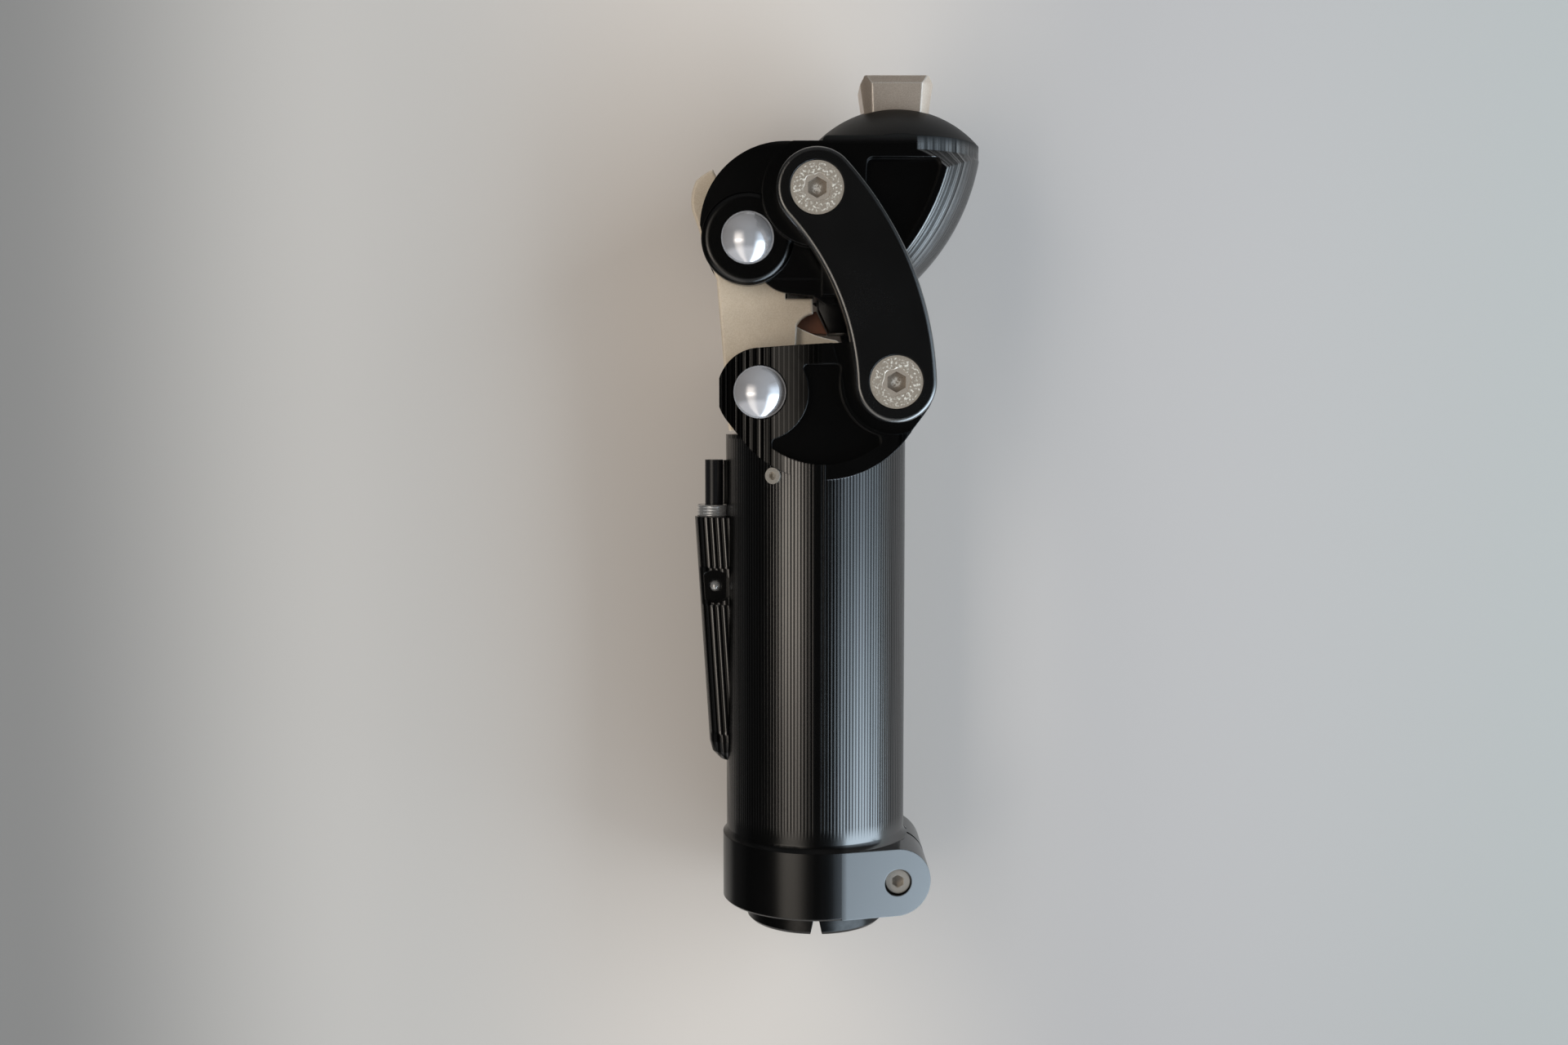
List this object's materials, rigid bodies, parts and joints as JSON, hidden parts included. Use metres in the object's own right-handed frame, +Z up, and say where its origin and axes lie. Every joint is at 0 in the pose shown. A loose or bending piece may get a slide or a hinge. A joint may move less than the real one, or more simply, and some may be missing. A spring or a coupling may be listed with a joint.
{
  "type": "prosthetic knee joint",
  "caption": "Polycentric four-bar prosthetic knee with a pneumatic cylinder in its shank, a pyramid adapter on top and a split clamp for the shank tube.",
  "frame": {"origin": "centre of the clamp sleeve's bottom rim, on the axis of the shank tube", "axes": "+Z up the tube to the thigh, +X to the front of the knee, +Y to the far side of the picture; knee fully extended"},
  "size_m": [0.0754, 0.0564, 0.2239],
  "materials": {
    "black_anodised": "satin black anodised, machined",
    "champagne_anodised": "bead blasted, champagne anodised",
    "sleeve_black": "black anodised, turned",
    "pyramid_titanium": "warm grey titanium, blasted",
    "bright_dome": "polished",
    "stainless_screw": "stainless, tumbled",
    "zinc_steel": "bright zinc plated",
    "stem_black": "black oxide",
    "ground_steel": "ground",
    "bearing_bronze": "plain bearing bronze",
    "plain_washer": "natural bearing plastic",
    "forged_aluminium": "machined",
    "hard_liner": "hard anodised, honed",
    "spring_steel": "drawn wire",
    "seal_rubber": "nitrile",
    "guide_plastic": "filled bearing tape",
    "bumper_rubber": "dark brown polyurethane"
  },
  "bodies": {
    "shank": {"main_housing": "black_anodised", "clamp_sleeve": "sleeve_black", "clamp_screw": "stainless_screw", "clamp_thread_insert": "zinc_steel", "cylinder_plug": "forged_aluminium", "plug_o_ring": "seal_rubber", "plug_circlip": "zinc_steel", "cylinder_liner": "hard_liner", "return_spring": "spring_steel", "fork_grub_screws": "stainless_screw", "valve_nipple": "zinc_steel", "channel_balls": "zinc_steel", "lower_rear_axle": "ground_steel", "lower_rear_screws": "bright_dome", "lower_front_bushes": "bearing_bronze"},
    "valve": {"valve_stem": "stem_black"},
    "piston": {"piston": "forged_aluminium", "piston_seal": "seal_rubber", "piston_guide_ring": "guide_plastic", "wrist_pin": "ground_steel"},
    "connecting_rod": {"connecting_rod": "forged_aluminium", "rod_lower_bush": "bearing_bronze", "rod_upper_bush": "bearing_bronze"},
    "rear_link": {"rear_link": "champagne_anodised", "extension_bumper": "bumper_rubber", "upper_rear_bushes": "bearing_bronze", "lower_rear_bushes": "bearing_bronze", "upper_thrust_washers": "plain_washer", "lower_thrust_washers": "plain_washer", "rod_pin": "ground_steel", "rod_pin_clips": "zinc_steel"},
    "head": {"knee_head": "black_anodised", "pyramid_adapter": "pyramid_titanium", "pyramid_bolt": "stainless_screw", "upper_rear_axle": "ground_steel", "upper_rear_screws": "bright_dome", "upper_front_bushes": "bearing_bronze"},
    "front_links": {"front_link_far": "black_anodised", "front_link_near": "black_anodised", "lower_front_axle": "ground_steel", "lower_front_screws": "stainless_screw", "upper_front_screws": "stainless_screw"}
  },
  "joints": [
    {"name": "rear_link_swing", "type": "hinge", "parent": "shank", "child": "rear_link", "pos_m": [-0.0146, 0, 0.142], "axis": [0, -1, 0], "range_deg": [-36, 0]},
    {"name": "knee_flexion", "type": "hinge", "parent": "rear_link", "child": "head", "pos_m": [-0.0177, 0, 0.1812], "axis": [0, -1, 0], "range_deg": [0, 155.7]},
    {"name": "front_link_swing", "type": "hinge", "parent": "shank", "child": "front_links", "pos_m": [0.0197, 0, 0.1444], "axis": [0, -1, 0], "range_deg": [0, 16.3]},
    {"name": "rod_swing", "type": "hinge", "parent": "rear_link", "child": "connecting_rod", "pos_m": [0.0024, 0, 0.1505], "axis": [0, -1, 0], "range_deg": [0, 32.7]},
    {"name": "piston_travel", "type": "slide", "parent": "shank", "child": "piston", "axis": [0, 0, -1], "range_m": [0, 0.0116], "deforming": ["return_spring"]},
    {"name": "valve_turn", "type": "hinge", "parent": "shank", "child": "valve", "pos_m": [-0.0272, 0, 0.11], "axis": [0, 0, 1], "range_deg": [-90, 90]}
  ],
  "couplings": [
    {"joint": "rear_link_swing", "follows": "knee_flexion", "ratio": -0.2297},
    {"joint": "front_link_swing", "follows": "knee_flexion", "ratio": 0.10308},
    {"joint": "rod_swing", "follows": "knee_flexion", "ratio": 0.2087},
    {"joint": "piston_travel", "follows": "knee_flexion", "m_per_rad": 0.0041954}
  ]
}
